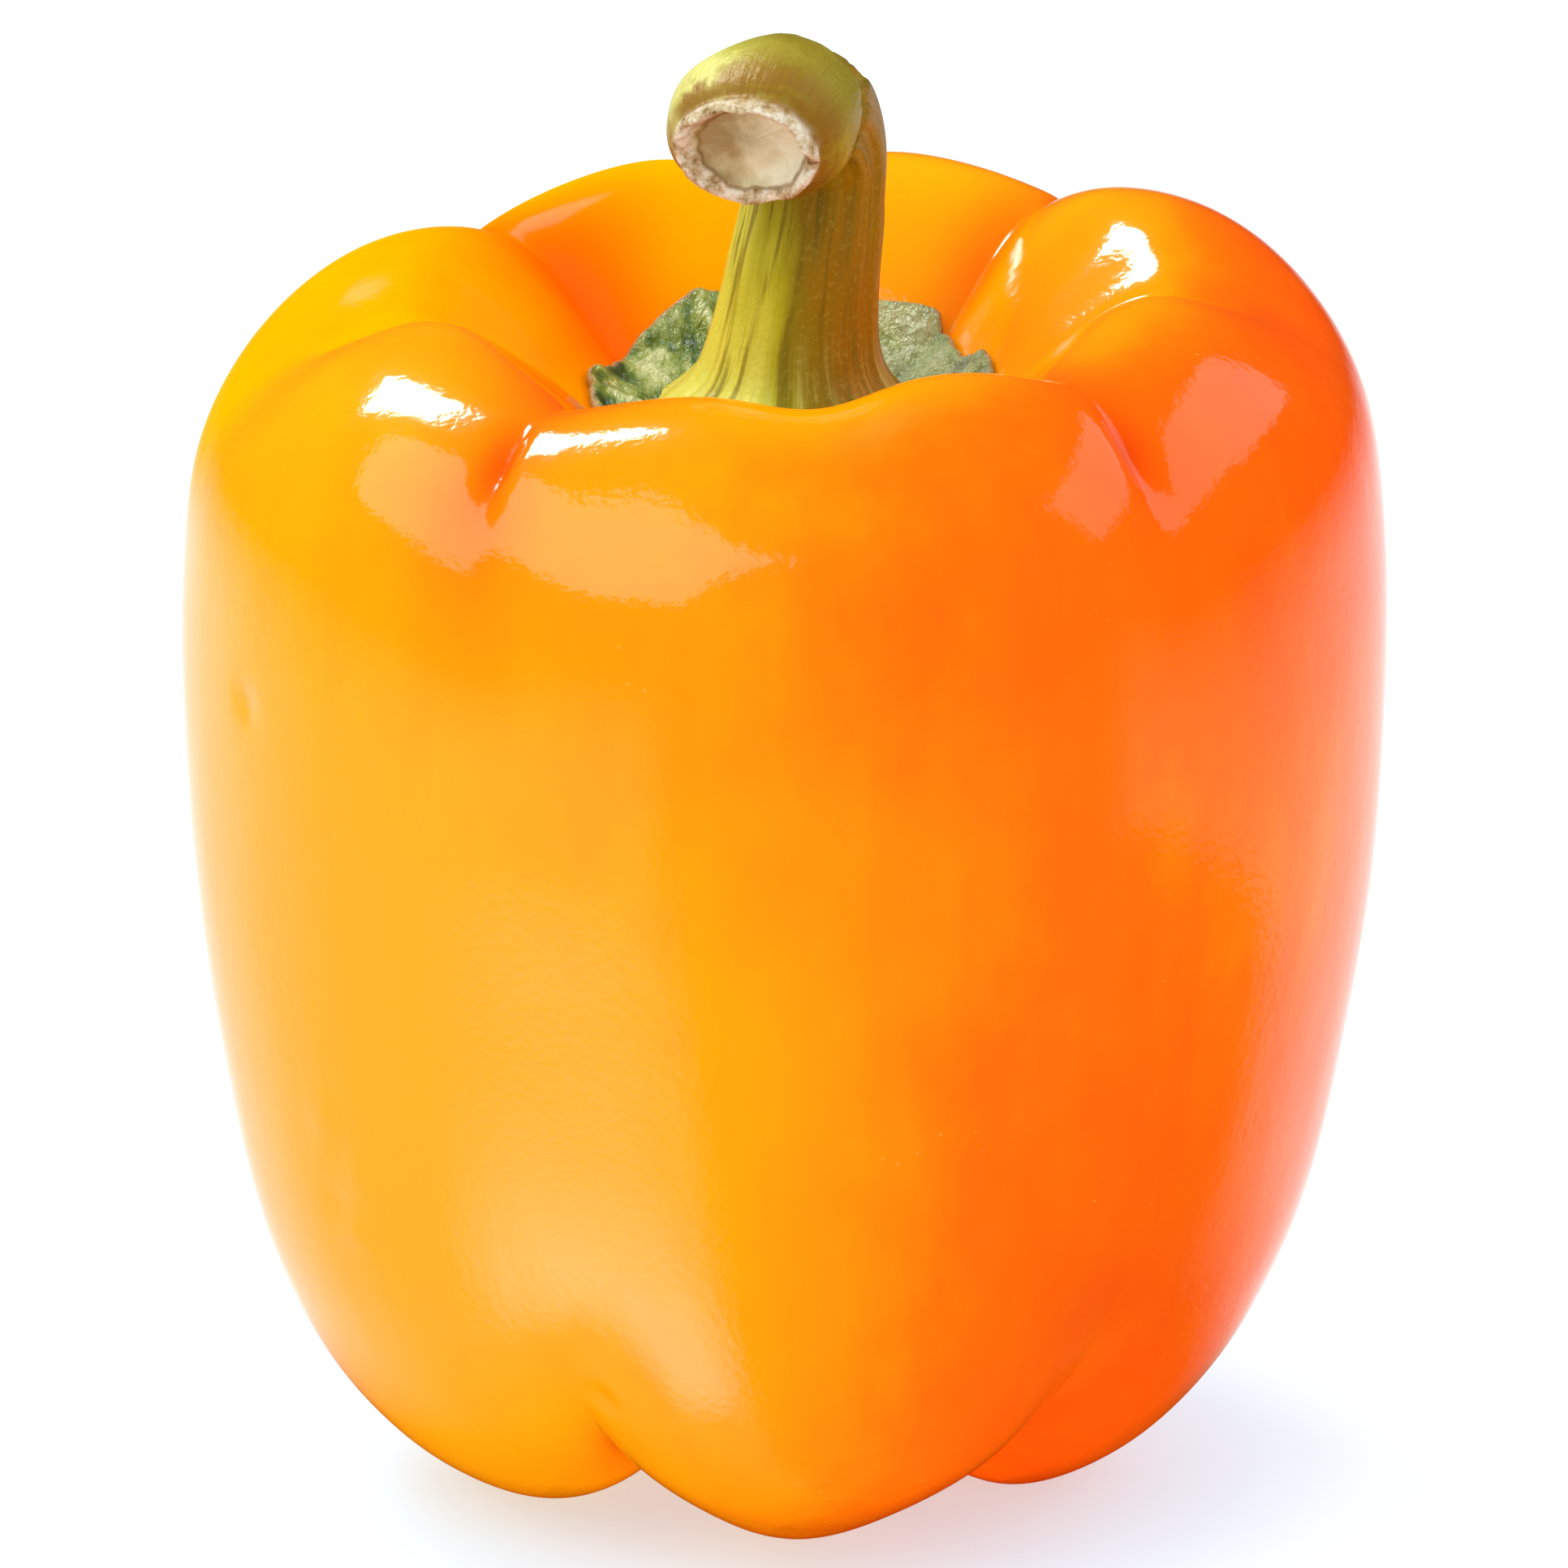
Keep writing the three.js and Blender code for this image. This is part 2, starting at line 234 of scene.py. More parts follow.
def fruit_surface(bearing, t):
    """The same by bearing."""
    edges = crease_bearings(t)
    turned = (bearing - edges[0]) % 360
    index = sum((turned >= edge - edges[0]).astype(int) for edge in edges[1:4])
    first, second = lobe_edges(edges, index)
    return lobe_surface(index, ((bearing - first) % 360) / (second - first), t)


def hollow_height(x, y):
    """The height of the top hollow's floor and wall above points of the plan."""
    bearing, radius = np.degrees(np.arctan2(y, x)), np.hypot(x, y)
    low, high = np.full(x.shape, HOLLOW_SPAN[0]), np.full(x.shape, HOLLOW_SPAN[1])
    for _ in range(HALVINGS):
        middle = (low + high) / 2
        inside = np.hypot(*np.moveaxis(fruit_surface(bearing, middle)[..., :2], -1, 0)) < radius
        low, high = np.where(inside, middle, low), np.where(inside, high, middle)
    return fruit_surface(bearing, low)[..., 2]


def normals_of(grid):
    """Outward normals of a grid whose columns run round it and whose rows run down it."""
    down = np.gradient(grid, axis=0)
    round_ = (np.roll(grid, -1, 1) - np.roll(grid, 1, 1)) / 2
    normal = np.cross(down, round_)
    length = np.linalg.norm(normal, axis=-1, keepdims=True)
    return normal / np.maximum(length, 1e-9)


# What the grid adds to the formulas. A place or a length down the outline is a station, a width beside a
# crease is a share of the lobe, and a depth or height is in millimetres.
LOBE_COLUMNS, FRUIT_ROWS, COLUMN_CROWDING, SMOOTHINGS = 92, 212, 0.03, 3
FRUIT_LUMPS, LUMPS_FROM = ((16, 1, 0.1), (6, 2, 0.02)), (0.1, 0.2)
FRUIT_GRAIN, GRAIN_STRETCH = (2.2, 3, 0.006), (1, 1, 0.35)
FOLD_AT, FOLD_LENGTH, FOLD_WIDTH, FOLD_DEPTH = (0.31, 0.328, 0.3, 0.3), 0.028, 0.022, 0.9
BOTTOM_FOLD_DEPTH, BOTTOM_SPAN = (0.6, 0.1, 0.3, 0.3), ((0.72, 0.8), (0.92, 0.97))
GROOVE_AT, GROOVE_LENGTH, GROOVE_WIDTH, GROOVE_DEPTH = 0.365, 0.045, 0.075, 0.5
CREASE_WIDTH, CREASE_SPAN, BOTTOM_CREASE = 0.09, ((0.08, 0.2), (0.34, 0.46)), 0.5
WELL_WIDTH, WELL_SPAN = 0.25, ((0.05, 0.14), (0.2, 0.3))
DULL_X, DULL_Y, DULL_STATIONS = (1, -6), (-12, -3), (0.37, 0.43)

# Low swellings, dents and scars of the skin: middle, width and height.
SWELLINGS = [
    ((-29.4, -21.6, 81.1), 6, 0.5), ((-11.1, -34.6, 79.7), 6, -0.5), ((-37, -20.1, 61.4), 1.1, -0.45),
    ((-31.6, -24.1, 32.4), 1.2, 0.22), ((-30.6, -25.1, 30.6), 1.2, -0.2), ((-29.4, -26.2, 29.4), 1.2, 0.2),
    ((-30.9, -23.9, 26.4), 1.2, -0.2), ((-29.6, -24.9, 24.6), 1.2, 0.2), ((-12.6, -30.8, 14.5), 1.3, -0.4),
    ((23.2, 4, 87.7), 7, -0.45),
]


def make_fruit():
    turn = np.arange(4 * LOBE_COLUMNS) / LOBE_COLUMNS
    # Columns crowd a little towards the creases, where the folds are fine.
    share = turn % 1
    share = share - COLUMN_CROWDING * np.sin(4 * math.pi * share)
    t, share = np.meshgrid(np.linspace(0, 1, FRUIT_ROWS), share, indexing="ij")
    index = np.broadcast_to(turn.astype(int), t.shape)
    grid = lobe_surface(index, share, t)
    near = np.minimum(share, 1 - share)  # share of a lobe from the nearest crease

    # Soften the kinks of the outline along its length, but not across a fold.
    for _ in range(SMOOTHINGS):
        grid[1:-1] = (grid[:-2] + 2 * grid[1:-1] + grid[2:]) / 4
    normal = normals_of(grid)

    lumps = relief(grid, *FRUIT_LUMPS) * smoothstep(t, *LUMPS_FROM)
    grain = relief(grid * GRAIN_STRETCH, FRUIT_GRAIN)
    crease = (index + (share > 0.5)) % 4
    bottom = plateau(t, *BOTTOM_SPAN)
    depth = FOLD_DEPTH * bell(t - np.array(FOLD_AT)[crease], FOLD_LENGTH)
    fold = bell(near, FOLD_WIDTH) * (depth + np.array(BOTTOM_FOLD_DEPTH)[crease] * bottom)
    groove = GROOVE_DEPTH * bell(near, GROOVE_WIDTH) * bell(t - GROOVE_AT, GROOVE_LENGTH)
    push = lumps + grain - fold - groove
    for centre, width, height in SWELLINGS:
        push += height * bell(np.linalg.norm(grid - centre, axis=-1), width)
    grid = grid + normal * push[..., None]
    grid[..., 2] = np.maximum(grid[..., 2], 0)

    # Where the painted shade goes: deeper red in the creases, in the folds and at the ends of the creases in
    # the hollow. The coat is dull on the hollow's left wall and the shoulder behind it.
    dull = smoothstep(grid[..., 0], *DULL_X) * smoothstep(grid[..., 1], *DULL_Y)
    attributes = {
        "crease": bell(near, CREASE_WIDTH) * (plateau(t, *CREASE_SPAN) + BOTTOM_CREASE * bottom),
        "fold": fold,
        "well": bell(near, WELL_WIDTH) * plateau(t, *WELL_SPAN),
        "station": t,
        "dull": dull * (1 - smoothstep(t, *DULL_STATIONS)),
    }
    return make_mesh("pepper_fruit", grid, attributes)


# The stem.

STEM_LINE = np.array([
    (0.5, 0.6, 77.35), (0.7, 0.7, 81.5), (1.3, 1, 86.5), (2, 1.4, 91.5), (2.1, 1.1, 95.3), (0.9, -1, 98.3),
    (-0.9, -4.4, 99.2), (-2.1, -7.7, 98.8), (-2.7, -10.3, 97.8),
])
# [radius, share of the line's length]: the cut's pale middle, its raised rim, the head, the neck, the foot.
STEM_OUTLINE = spline([
    (0, 0.965), (3, 0.968), (3.9, 0.982), (4.6, 1.003), (5.1, 0.995), (5.2, 0.972), (5.9, 0.94), (6.5, 0.86),
    (6.3, 0.77), (5.5, 0.67), (5.1, 0.57), (4.95, 0.48), (5.1, 0.41), (5.35, 0.32), (5.7, 0.2), (6.3, 0.115),
    (7.1, 0.067), (8.3, 0.032), (8.9, 0.014), (8.6, 0), (0, 0),
])
STEM_SIDE = np.array((1, -0.25, 0)) / math.hypot(1, 0.25)
STEM_FLATNESS, FLATTENED = 0.85, (0.5, 0.85)
STEM_COLUMNS, STEM_ROWS, ROW_CROWDING = 176, 240, 0.055
LINE_SAMPLES, LINE_STEPS = 400, 60

# Where the stem's forms lie, as radii, as shares of its length, or as rows (0 in the cut, 1 under the foot).
NECK_RADII, NECK_SHARES, NECK_ROWS = (2, 5), (0.62, 0.85), (0.3, 0.4)
HEAD_SHARES, HEAD_ROWS = (0.6, 0.75), (0.2, 0.26)
FOLD_SHARE, FOLD_SHARES, FOLD_SIDE, HEAD_FOLD = 0.71, 0.018, (-0.2, 0.5), 0.6
RIM_ROW, RIM_ROWS, CORK_ROW, CORK_ROWS = 0.155, 0.055, 0.15, 0.075
RECESS, RECESS_RADII, RECESS_END = 0.25, (2.6, 4.2), 0.2
PITH_EDGE, PITH_END = (3.5, 3.9), 0.3
PITH_OFF_CENTRE, PITH_TOWARDS, PITH_UNEVEN = 0.4, 2.3, (0.25, 16, 0.25)
GRAIN_RADIUS = 5

# Noise round the stem is laid on a cylinder of radius 1 and this length. The layers are those of relief, in
# millimetres of height, and the cracks run where the finer ribs do.
AROUND_LENGTH = 1.2
RIB_STRETCH, RIBS = (1, 1, 0.5), (0.3, 4, 0.2)
FINE_RIB_STRETCH, FINE_RIBS = (1, 1, 0.4), (0.1, 5, 0.14)
RIB_COUNT, RIB_HEIGHT, RIB_UNEVEN, RIB_PHASE = 11, 0.1, 1.5, 1
CRACK_STRETCH, CRACK_SCALE, CRACK_SEED = (1, 1, 0.3), 0.1, 5
HEAD_LUMPS = (0.7, 6, 0.45)
TORN_OUT = ((0.15, 7, 0.1, 2), (0.33, 17, 0.3), (0.7, 8, 0.5))
TORN_UP = ((0.13, 9, 0.1, 2), (0.42, 10, 0.8))
RIM_LEAN, RIM_PHASE, RIM_RAISE = 0.5, 0.4, 0.1


def stem_curve(points):
    """Evenly spaced points and directions on a centripetal curve through the points, and its length."""
    p = np.vstack([2 * points[0] - points[1], points, 2 * points[-1] - points[-2]])
    dense = []
    for a, b, c, d in zip(p, p[1:], p[2:], p[3:]):
        d0, d1, d2 = (math.sqrt(np.linalg.norm(v)) for v in (b - a, c - b, d - c))
        m1 = ((b - a) / d0 - (c - a) / (d0 + d1) + (c - b) / d1) * d1
        m2 = ((c - b) / d1 - (d - b) / (d1 + d2) + (d - c) / d2) * d1
        w = np.linspace(0, 1, LINE_STEPS, endpoint=False)[:, None]
        dense.append((2 * b - 2 * c + m1 + m2) * w**3 + (3 * c - 3 * b - 2 * m1 - m2) * w**2 + m1 * w + b)
    dense = np.vstack(dense + [points[-1:]])
    run = np.concatenate([[0], np.cumsum(np.linalg.norm(np.diff(dense, axis=0), axis=1))])
    even = np.linspace(0, run[-1], LINE_SAMPLES)
    line = np.stack([np.interp(even, run, dense[:, i]) for i in range(3)], -1)
    return line, unit(np.gradient(line, axis=0)), run[-1]


def make_stem():
    line, direction, length = stem_curve(STEM_LINE)
    t = np.linspace(0, 1, STEM_ROWS)
    t = t - ROW_CROWDING * np.sin(2 * math.pi * t)
    t, turn = np.meshgrid(t, np.arange(STEM_COLUMNS) * 2 * math.pi / STEM_COLUMNS, indexing="ij")
    radius, share = np.moveaxis(STEM_OUTLINE(t), -1, 0)
    at = np.clip(share, 0, 1)

    def on_line(values):
        return np.stack([np.interp(at * (len(line) - 1), np.arange(len(line)), v) for v in values.T], -1)

    forward = unit(on_line(direction))
    side = unit(STEM_SIDE - forward * (forward @ STEM_SIDE)[..., None])
    up = np.cross(forward, side)

    # Lengthwise ribs of uneven width on the neck, lumps on the head, and a torn, raised rim round the cut.
    around = np.stack([np.cos(turn), np.sin(turn), at * AROUND_LENGTH], -1)
    neck = smoothstep(radius, *NECK_RADII) * (1 - smoothstep(share, *NECK_SHARES)) * smoothstep(t, *NECK_ROWS)
    ribs = relief(around * RIB_STRETCH, RIBS) + relief(around * FINE_RIB_STRETCH, FINE_RIBS)
    ribs += RIB_HEIGHT * np.cos(RIB_COUNT * turn + RIB_UNEVEN * np.sin(turn + RIB_PHASE))
    head = smoothstep(share, *HEAD_SHARES) * smoothstep(t, *HEAD_ROWS)
    lumps = relief(around, HEAD_LUMPS)
    rim = bell(t - RIM_ROW, RIM_ROWS)
    torn = relief(around, *TORN_OUT)
    fold = HEAD_FOLD * bell(share - FOLD_SHARE, FOLD_SHARES) * smoothstep(np.cos(turn), *FOLD_SIDE)
    wide = radius + ribs * neck + lumps * head + rim * torn - fold
    raised = rim * (relief(around, *TORN_UP) + RIM_LEAN * np.sin(turn + RIM_PHASE) + RIM_RAISE)
    recess = RECESS * (1 - smoothstep(radius, *RECESS_RADII)) * (t < RECESS_END)
    flat = lerp(1, STEM_FLATNESS, smoothstep(share, *FLATTENED))
    ahead = (share - at) * length + raised - recess
    grid = on_line(line) + forward * ahead[..., None]
    grid = grid + side * (wide * np.cos(turn))[..., None] + up * (wide * flat * np.sin(turn))[..., None]

    crack = np.clip(rough(around * CRACK_STRETCH, CRACK_SCALE, CRACK_SEED), 0, 1)
    pith_radius = radius + PITH_OFF_CENTRE * np.cos(turn - PITH_TOWARDS) + relief(around, PITH_UNEVEN)
    grain = np.stack([np.cos(turn) * GRAIN_RADIUS, np.sin(turn) * GRAIN_RADIUS, at * length], -1)
    attributes = {
        "grain": grain / MM_PER_M,
        "share": at,
        "rim": bell(t - CORK_ROW, CORK_ROWS, 4),
        "pith": (1 - smoothstep(pith_radius, *PITH_EDGE)) * (t < PITH_END),
        "crack": crack * neck,
    }
    return make_mesh("pepper_stem", grid, attributes)


# The calyx.

# Bearing and reach of each point, and the radius halfway on to the next.
CALYX_POINTS = [
    (3, 14.6, 14.4), (52, 17.8, 14.7), (113, 16.5, 16.3), (136, 16.4, 14.6), (172, 14.1, 13.2),
    (236, 14.5, 13.4), (303, 15, 13.9),
]
POINT_SHARPNESS = 1.2
CALYX_CENTRE, CALYX_THICKNESS, CALYX_EDGE = (0.2, 0.6), 1.5, 0.9
CALYX_COLUMNS, CALYX_ROWS = 300, 120
EDGE_NOISE_RADIUS, EDGE_NOISE = 15, ((2, 11, 0.15), (0.7, 12, 0.12))

# Ribs out to the points, bumps all round and a curled lip: heights in millimetres, and where they rise and
# fall as shares of the way out.
RIB_TO_POINT, RIB_SPAN = 0.8, ((0.6, 0.74), (0.85, 1))
CALYX_BUMPS, BUMP_SPAN = ((2.8, 13, 0.6), (1.2, 14, 0.3), (0.5, 15, 0.08)), ((0.55, 0.7), (0.93, 1))
LIP, LIP_SPAN = 0.2, ((0.9, 0.97), (0.97, 1))
ROUNDED_EDGE, EDGE_SHARE = (0.95, 1), 0.35


def calyx_reach(bearing):
    """How far the calyx reaches at the bearings, and how near its points they are (1 at a point)."""
    reach, nearness = np.zeros(bearing.shape), np.zeros(bearing.shape)
    for here, there in zip(CALYX_POINTS, CALYX_POINTS[1:] + CALYX_POINTS[:1]):
        width = (there[0] - here[0]) % 360
        share = ((bearing - here[0]) % 360) / width
        inside = share < 1
        near = np.abs(1 - 2 * np.clip(share, 0, 1))
        value = lerp(here[2], lerp(here[1], there[1], share), near**POINT_SHARPNESS)
        reach, nearness = np.where(inside, value, reach), np.where(inside, near, nearness)
    return reach, nearness


def make_calyx():
    """Half of the rows run out over the top of the calyx, and the other half back in below it."""
    t, turn = np.meshgrid(
        np.linspace(0, 1, CALYX_ROWS), np.arange(CALYX_COLUMNS) * 360 / CALYX_COLUMNS, indexing="ij"
    )
    on_top = t < 0.5
    out = np.where(on_top, 2 * t, 2 - 2 * t)
    reach, nearness = calyx_reach(turn)
    angle = np.radians(turn)
    circle = np.stack([np.cos(angle), np.sin(angle), np.zeros(angle.shape)], -1)
    reach = reach + relief(circle * EDGE_NOISE_RADIUS, *EDGE_NOISE)
    x = CALYX_CENTRE[0] + out * reach * np.cos(angle)
    y = CALYX_CENTRE[1] + out * reach * np.sin(angle)
    flat = np.stack([x, y, np.zeros(x.shape)], -1)
    rib = RIB_TO_POINT * nearness**8 * plateau(out, *RIB_SPAN)
    bumps = relief(flat, *CALYX_BUMPS) * plateau(out, *BUMP_SPAN)
    lip = LIP * plateau(out, *LIP_SPAN)
    rounding = np.sqrt(np.clip(1 - smoothstep(out, *ROUNDED_EDGE), 0, 1))
    top = lerp(CALYX_THICKNESS, CALYX_EDGE, out) * lerp(EDGE_SHARE, 1, rounding) + rib + bumps + lip
    z = hollow_height(x, y) + SEAT_GAP + np.where(on_top, top, 0)
    attributes = {"out": out, "lift": bumps + rib, "flat": flat / MM_PER_M}
    return make_mesh("pepper_calyx", np.stack([x, y, z], -1), attributes)


# Materials. Lengths are in metres from here on.


class Nodes:
    """Short calls for the nodes of a material or of the world."""

    def __init__(self, tree):
        self.tree = tree

    def set(self, socket, value):
        if isinstance(value, bpy.types.NodeSocket):
            self.tree.links.new(value, socket)
        elif isinstance(value, (tuple, list)) and len(value) == 3 and socket.type == "RGBA":
            socket.default_value = (*value, 1)
        else:
            socket.default_value = value

    def set_inputs(self, node, inputs):
        for key, value in inputs.items():
            self.set(node.inputs[key.replace("_", " ")], value)

    def add(self, kind, **inputs):
        node = self.tree.nodes.new(kind)
        self.set_inputs(node, inputs)
        return node

    def math(self, operation, a, b=0.0, clamp=False):
        node = self.tree.nodes.new("ShaderNodeMath")
        node.operation, node.use_clamp = operation, clamp
        self.set(node.inputs[0], a)
        self.set(node.inputs[1], b)
        return node.outputs[0]

    def plus(self, a, b, clamp=False):
        return self.math("ADD", a, b, clamp)

    def minus(self, a, b):
        return self.math("SUBTRACT", a, b)

    def times(self, a, b, clamp=False):
        return self.math("MULTIPLY", a, b, clamp)

    def mix(self, factor, a, b):
        node = self.tree.nodes.new("ShaderNodeMix")
        node.data_type = "RGBA"
        self.set(node.inputs[0], factor)
        self.set(node.inputs[6], a)
        self.set(node.inputs[7], b)
        return node.outputs[2]

    def range(self, value, low, high, new_low=0.0, new_high=1.0, smooth=True):
        """The value's way from low to high, as the way from new_low to new_high."""
        node = self.add("ShaderNodeMapRange", Value=value)
        node.interpolation_type = "SMOOTHSTEP" if smooth else "LINEAR"
        limits = (("From Min", low), ("From Max", high), ("To Min", new_low), ("To Max", new_high))
        for key, number in limits:
            node.inputs[key].default_value = number
        return node.outputs[0]

    def ramp(self, value, *stops):
        node = self.add("ShaderNodeValToRGB", Fac=value)
        elements = node.color_ramp.elements
        while len(elements) < len(stops):
            elements.new(0.5)
        for element, (place, colour) in zip(elements, stops):
            element.position, element.color = place, (*colour, 1)
        return node.outputs[0]

    def attribute(self, name, output="Fac"):
        node = self.tree.nodes.new("ShaderNodeAttribute")
        node.attribute_name = name
        return node.outputs[output]

    def ray(self, kind):
        """1 for the rays of one kind, such as "Is Glossy Ray"."""
        return self.tree.nodes.new("ShaderNodeLightPath").outputs[kind]

    def coordinates(self, kind="Object"):
        return self.tree.nodes.new("ShaderNodeTexCoord").outputs[kind]

    def axis(self, index):
        return self.add("ShaderNodeSeparateXYZ", Vector=self.coordinates()).outputs[index]

    def from_upright_axis(self):
        return self.math("SQRT", self.plus(*(self.math("POWER", self.axis(i), 2.0) for i in (0, 1))))

    def place(self, scale=(1, 1, 1), of=None):
        return self.add("ShaderNodeMapping", Vector=of or self.coordinates(), Scale=scale).outputs[0]

    def noise(self, vector, scale, detail=2.0, roughness=0.5):
        node = self.add("ShaderNodeTexNoise", Vector=vector, Scale=scale, Detail=detail, Roughness=roughness)
        return node.outputs[0]

    def swing(self, noise, height):
        """Noise moved to both sides of 0."""
        return self.times(self.minus(noise, 0.5), height)

    def bump(self, height, strength, distance, normal=None):
        node = self.add("ShaderNodeBump", Height=height, Strength=strength, Distance=distance)
        if normal:
            self.set(node.inputs["Normal"], normal)
        return node.outputs[0]


class Material(Nodes):
    def __init__(self, name):
        self.material = bpy.data.materials.new(name)
        self.material.use_nodes = True
        super().__init__(self.material.node_tree)

    def finish(self, **inputs):
        """Sets inputs of the surface and returns the material."""
        self.set_inputs(self.tree.nodes["Principled BSDF"], inputs)
        return self.material


SKIN_COLOURS = (
    (0.0, (0.95, 0.32, 0.0)), (0.35, (0.95, 0.24, 0.0)), (0.65, (0.93, 0.135, 0.0)),
    (1.0, (0.88, 0.08, 0.0)),
)
# The well, crease and fold colours are painted shade, deeper red where the skin folds in.
CELL_COLOUR, WELL_SHADE_COLOUR = (1.0, 0.62, 0.16), (0.9, 0.085, 0.0)
CREASE_SHADE_COLOUR, FOLD_SHADE_COLOUR = (0.82, 0.09, 0.0), (0.6, 0.03, 0.0)


def skin_material():
    n = Material("pepper_skin")
    here = n.place()
    x, y, z = (n.axis(i) for i in range(3))
    station = n.attribute("station")
    # Riper and redder towards the right, and yellower high up and on the far right, with painted light and
    # shade as marked below.
    ripeness_and_painted_light = n.plus(n.range(x, -0.045, 0.056), n.swing(n.noise(here, 26, 2), 0.35))
    # Painted light: yellower lower down, to make up for the shade under the fruit's belly.
    ripeness_and_painted_light = n.plus(ripeness_and_painted_light, n.range(z, 0.035, 0.075, -0.27, 0.0))
    top = n.times(n.range(x, -0.004, 0.008), n.range(x, 0.026, 0.016, 0.0, 0.12))
    top = n.times(top, n.range(z, 0.055, 0.07))
    low = n.times(n.range(z, 0.065, 0.03), n.range(x, -0.004, 0.018, 0.0, 0.34))
    ripeness_and_painted_light = n.plus(ripeness_and_painted_light, n.plus(top, low))
    # Painted shade: redder at the very bottom, next to the floor.
    ripeness_and_painted_light = n.plus(ripeness_and_painted_light, n.range(z, 0.004, 0.03, 0.18, 0.0))
    far_right = n.times(n.range(x, 0.022, 0.034), n.range(z, 0.07, 0.05, 0.0, 0.22))
    ripeness_and_painted_light = n.minus(ripeness_and_painted_light, far_right)
    back = n.times(n.range(y, 0.008, 0.02), n.range(station, 0.5, 0.35))
    ripeness_and_painted_light = n.minus(ripeness_and_painted_light, n.times(back, 0.6))
    # Painted light: yellower on the hollow's walls, most on the right wall, where the key lamp falls.
    hollow = n.range(station, 0.3, 0.2)
    ripeness_and_painted_light = n.minus(ripeness_and_painted_light, n.times(hollow, n.range(x, -0.01, 0.01, 0.1, 0.65)))
    # Faint clouds and lengthwise streaks.
    cloud = n.plus(n.noise(here, 130, 3), n.noise(n.place((1, 1, 0.2)), 300, 3))
    ripeness_and_painted_light = n.plus(ripeness_and_painted_light, n.times(n.minus(cloud, 1.0), 0.22))
    colour = n.ramp(ripeness_and_painted_light, *SKIN_COLOURS)
    # Pale cells, and painted shade: deeper red in the creases on the hollow's left wall, in the creases, and
    # darker still in the folds.
    speck = n.add("ShaderNodeTexVoronoi", Vector=here, Scale=900).outputs["Distance"]
    speck = n.times(n.range(speck, 0.0, 0.16, 1, 0), n.range(n.noise(here, 90), 0.6, 0.72))
    colour = n.mix(n.times(speck, 0.35), colour, CELL_COLOUR)
    well = n.times(n.attribute("well"), n.range(x, -0.002, -0.012, 0.0, 0.75))
    colour = n.mix(well, colour, WELL_SHADE_COLOUR)
    colour = n.mix(n.times(n.attribute("crease"), 0.6, True), colour, CREASE_SHADE_COLOUR)
    colour = n.mix(n.times(n.attribute("fold"), 0.7, True), colour, FOLD_SHADE_COLOUR)
    # Long, low waves and fine cells under the gloss of the wax.
    wave = n.noise(n.place((1, 1, 0.55)), 150, 2)
    cells = n.noise(here, 1500, 2)
    normal = n.bump(cells, 0.16, 0.00014, n.bump(wave, 0.15, 0.0006))
    gloss = n.plus(n.range(n.noise(here, 60, 3), 0.3, 0.7, 0.2, 0.3), n.times(speck, 0.15))
    coat = n.minus(1.0, n.times(n.attribute("dull"), 0.95))
    return n.finish(
        Base_Color=colour, Roughness=gloss, Normal=normal, Specular_IOR_Level=0.0,
        Coat_Weight=coat, Coat_Roughness=0.09, Coat_IOR=1.5, Coat_Normal=normal,
    )


# The neck and the head from the left to the right side, with painted light and shade across them, the cork
# from its dents up, the pith from its painted shade on the left.
NECK_COLOURS_WITH_PAINTED_LIGHT = (
    (0.0, (0.54, 0.55, 0.05)), (0.3, (0.34, 0.34, 0.006)), (0.6, (0.21, 0.15, 0.0)),
    (1.0, (0.28, 0.115, 0.0)),
)
HEAD_COLOURS_WITH_PAINTED_SHADE = (0.0, (0.62, 0.6, 0.17)), (0.4, (0.4, 0.38, 0.04)), (0.9, (0.24, 0.18, 0.008))
CORK_COLOURS = (0.36, (0.2, 0.11, 0.035)), (0.47, (0.5, 0.38, 0.22)), (0.6, (0.74, 0.68, 0.55))
PITH_AND_SHADE_COLOURS = (0.1, (0.34, 0.25, 0.11)), (0.5, (0.54, 0.48, 0.28)), (0.9, (0.7, 0.68, 0.49))
STREAK_COLOUR, CRACK_COLOUR, FLECK_COLOUR = (0.13, 0.1, 0.004), (0.13, 0.1, 0.002), (0.45, 0.4, 0.07)
FOOT_COLOUR, BRUISE_COLOUR, BRIM_COLOUR = (0.5, 0.54, 0.14), (0.22, 0.1, 0.006), (0.2, 0.1, 0.03)
STEM_SHEEN = (1.0, 0.92, 0.45)


